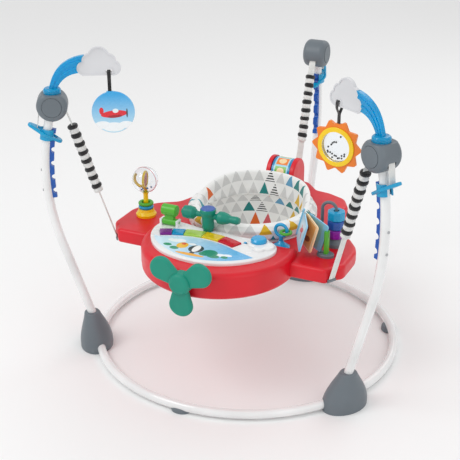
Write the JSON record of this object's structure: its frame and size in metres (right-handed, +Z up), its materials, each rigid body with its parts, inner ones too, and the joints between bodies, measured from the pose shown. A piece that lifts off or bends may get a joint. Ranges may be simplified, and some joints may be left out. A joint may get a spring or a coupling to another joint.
{
  "type": "baby activity jumper",
  "caption": "Ring stand with three bowed legs that carries a plane-shaped toy tray and swivel fabric seat on springs.",
  "frame": {"origin": "on the floor under the middle of the overall box", "axes": "+Z up, front of the tray towards -Y, +X to the child's left"},
  "size_m": [1.0482, 1.059, 0.904],
  "materials": {
    "steel_white": "gloss white paint",
    "grey_plastic": "satin slate grey",
    "blue_track": "satin royal blue",
    "cyan_plastic": "satin cyan",
    "arm_blue": "translucent blue",
    "white_plastic": "gloss white",
    "red_plastic": "satin red",
    "webbing_white": "woven",
    "webbing_black": "woven",
    "sleeve_fabric": "gathered black and white rings",
    "spring_steel": "drawn wire",
    "pin_steel": "turned",
    "seat_fabric": "printed cotton blend",
    "orange_plastic": "satin",
    "yellow_plastic": "satin",
    "lime_plastic": "satin",
    "green_plastic": "soft satin",
    "teal_plastic": "satin",
    "key_purple": "translucent",
    "key_blue": "translucent",
    "key_lime": "translucent",
    "key_yellow": "translucent",
    "key_red": "translucent",
    "button_blue": "gloss",
    "navy_plastic": "satin",
    "purple_plastic": "satin",
    "print_sky": "printed label",
    "clear_plastic": "clear",
    "page_blue": "printed page",
    "page_orange": "printed page"
  },
  "bodies": {
    "frame": {"base_tube_front": "steel_white", "base_tube_right": "steel_white", "base_tube_left": "steel_white", "feet": "grey_plastic", "leg_left": "steel_white", "leg_right": "steel_white", "leg_back": "steel_white", "housing_left": "grey_plastic", "housing_right": "grey_plastic", "housing_back": "grey_plastic", "housing_caps": "grey_plastic", "strap_guide_pins": "pin_steel", "height_tracks": "blue_track", "track_screws": "pin_steel", "rainbow_arms": "arm_blue", "clouds": "white_plastic", "height_straps": "webbing_white"},
    "suspension": {"spring_sleeves": "sleeve_fabric", "springs": "spring_steel"},
    "tray": {"lower_straps": "webbing_white", "strap_anchors": "grey_plastic", "tray_top": "red_plastic", "tray_bottom": "red_plastic", "console": "white_plastic", "picture_panel": "print_sky", "spinner_base": "yellow_plastic", "loop_toy": "button_blue", "loop_ring": "lime_plastic", "book_base": "grey_plastic", "book_back": "page_blue", "stacker_frame": "grey_plastic"},
    "seat": {"seat_ring": "white_plastic", "seat_pad": "seat_fabric", "seat_sling": "seat_fabric"},
    "hanging_disc": {"toy_disc": "print_sky", "disc_strap": "webbing_black"},
    "hanging_sun": {"sun_petals": "orange_plastic", "sun_ring": "yellow_plastic", "sun_window": "clear_plastic", "sun_strap": "webbing_black"},
    "adjuster_left": {"adjuster_left": "cyan_plastic"},
    "adjuster_right": {"adjuster_right": "cyan_plastic"},
    "adjuster_back": {"adjuster_back": "cyan_plastic"},
    "propeller": {"propeller": "green_plastic"},
    "tail_drum": {"tail_drum": "print_sky"},
    "melody_button": {"melody_button": "button_blue"},
    "power_slider": {"power_slider": "button_blue"},
    "yoke": {"yoke": "teal_plastic"},
    "lever": {"lever": "lime_plastic"},
    "spinner_ball": {"spinner_ball": "clear_plastic"},
    "book_middle": {"book_middle": "page_orange"},
    "book_cover": {"book_cover": "page_blue"},
    "stack_ring_cyan": {"stack_ring_cyan": "cyan_plastic"},
    "stack_ring_navy": {"stack_ring_navy": "navy_plastic"},
    "stack_ring_purple": {"stack_ring_purple": "purple_plastic"},
    "key_purple": {"key_purple": "key_purple"},
    "key_blue": {"key_blue": "key_blue"},
    "key_lime": {"key_lime": "key_lime"},
    "key_yellow": {"key_yellow": "key_yellow"},
    "key_red": {"key_red": "key_red"}
  },
  "joints": [
    {"name": "height_adjust", "type": "slide", "parent": "frame", "child": "suspension", "axis": [0, 0, 1], "range_m": [0, 0.04], "deforming": ["height_straps"]},
    {"name": "bounce", "type": "slide", "parent": "suspension", "child": "tray", "axis": [0, 0, 1], "range_m": [-0.06, 0.04], "stiffness_N_per_m": 1000, "springref_m": 0.0732, "deforming": ["spring_sleeves", "springs"]},
    {"name": "seat_swivel", "type": "hinge", "parent": "tray", "child": "seat", "pos_m": [0, -0.03854, 0.385], "axis": [0, 0, 1], "continuous": true},
    {"name": "adjust_left", "type": "slide", "parent": "frame", "child": "adjuster_left", "axis": [0.1485, 0.0857, 0.9852], "range_m": [-0.04, 0]},
    {"name": "adjust_right", "type": "slide", "parent": "frame", "child": "adjuster_right", "axis": [-0.1485, 0.0857, 0.9852], "range_m": [-0.04, 0]},
    {"name": "adjust_back", "type": "slide", "parent": "frame", "child": "adjuster_back", "axis": [0, -0.1714, 0.9852], "range_m": [-0.04, 0]},
    {"name": "propeller_spin", "type": "hinge", "parent": "tray", "child": "propeller", "pos_m": [0, -0.48354, 0.378], "axis": [0, 1, 0], "continuous": true},
    {"name": "drum_spin", "type": "hinge", "parent": "tray", "child": "tail_drum", "pos_m": [0, 0.21146, 0.432], "axis": [1, 0, 0], "continuous": true},
    {"name": "yoke_turn", "type": "hinge", "parent": "tray", "child": "yoke", "pos_m": [-0.047, -0.23604, 0.455], "axis": [0, 0, 1], "range_deg": [-12, 12]},
    {"name": "lever_tilt", "type": "hinge", "parent": "tray", "child": "lever", "pos_m": [-0.16, -0.24554, 0.42], "axis": [1, 0, 0], "range_deg": [-20, 20]},
    {"name": "ball_spin", "type": "hinge", "parent": "tray", "child": "spinner_ball", "pos_m": [-0.287, -0.15654, 0.492], "axis": [0, 0, 1], "continuous": true},
    {"name": "page_turn", "type": "hinge", "parent": "tray", "child": "book_middle", "pos_m": [0.205, -0.15854, 0.49], "axis": [0.2538, 0, 0.9673], "range_deg": [-4, 8]},
    {"name": "cover_turn", "type": "hinge", "parent": "tray", "child": "book_cover", "pos_m": [0.205, -0.15854, 0.49], "axis": [0.2538, 0, 0.9673], "range_deg": [-12, 4]},
    {"name": "ring_cyan_spin", "type": "hinge", "parent": "tray", "child": "stack_ring_cyan", "pos_m": [0.283, -0.11854, 0.47], "axis": [0, 0, 1], "continuous": true},
    {"name": "ring_navy_spin", "type": "hinge", "parent": "tray", "child": "stack_ring_navy", "pos_m": [0.283, -0.11854, 0.444], "axis": [0, 0, 1], "continuous": true},
    {"name": "ring_purple_spin", "type": "hinge", "parent": "tray", "child": "stack_ring_purple", "pos_m": [0.283, -0.11854, 0.418], "axis": [0, 0, 1], "continuous": true},
    {"name": "key_purple_press", "type": "slide", "parent": "tray", "child": "key_purple", "axis": [0, 0, 1], "range_m": [-0.002, 0], "stiffness_N_per_m": 250, "springref_m": 0.002},
    {"name": "key_blue_press", "type": "slide", "parent": "tray", "child": "key_blue", "axis": [0, 0, 1], "range_m": [-0.002, 0], "stiffness_N_per_m": 250, "springref_m": 0.002},
    {"name": "key_lime_press", "type": "slide", "parent": "tray", "child": "key_lime", "axis": [0, 0, 1], "range_m": [-0.002, 0], "stiffness_N_per_m": 250, "springref_m": 0.002},
    {"name": "key_yellow_press", "type": "slide", "parent": "tray", "child": "key_yellow", "axis": [0, 0, 1], "range_m": [-0.002, 0], "stiffness_N_per_m": 250, "springref_m": 0.002},
    {"name": "key_red_press", "type": "slide", "parent": "tray", "child": "key_red", "axis": [0, 0, 1], "range_m": [-0.002, 0], "stiffness_N_per_m": 250, "springref_m": 0.002},
    {"name": "melody_press", "type": "slide", "parent": "tray", "child": "melody_button", "axis": [0, 0, 1], "range_m": [-0.004, 0], "stiffness_N_per_m": 200, "springref_m": 0.004},
    {"name": "power_slide", "type": "slide", "parent": "tray", "child": "power_slider", "axis": [1, 0, 0], "range_m": [0, 0.006]},
    {"name": "disc_swing", "type": "hinge", "parent": "frame", "child": "hanging_disc", "pos_m": [-0.32649, -0.26204, 0.837], "axis": [-0.866, -0.5, 0], "range_deg": [-15, 15]},
    {"name": "sun_swing", "type": "hinge", "parent": "frame", "child": "hanging_sun", "pos_m": [0.32649, -0.26204, 0.837], "axis": [0.866, -0.5, 0], "range_deg": [-15, 15]}
  ],
  "couplings": [
    {"joint": "adjust_left", "follows": "height_adjust", "ratio": -1},
    {"joint": "adjust_right", "follows": "height_adjust", "ratio": -1},
    {"joint": "adjust_back", "follows": "height_adjust", "ratio": -1}
  ]
}
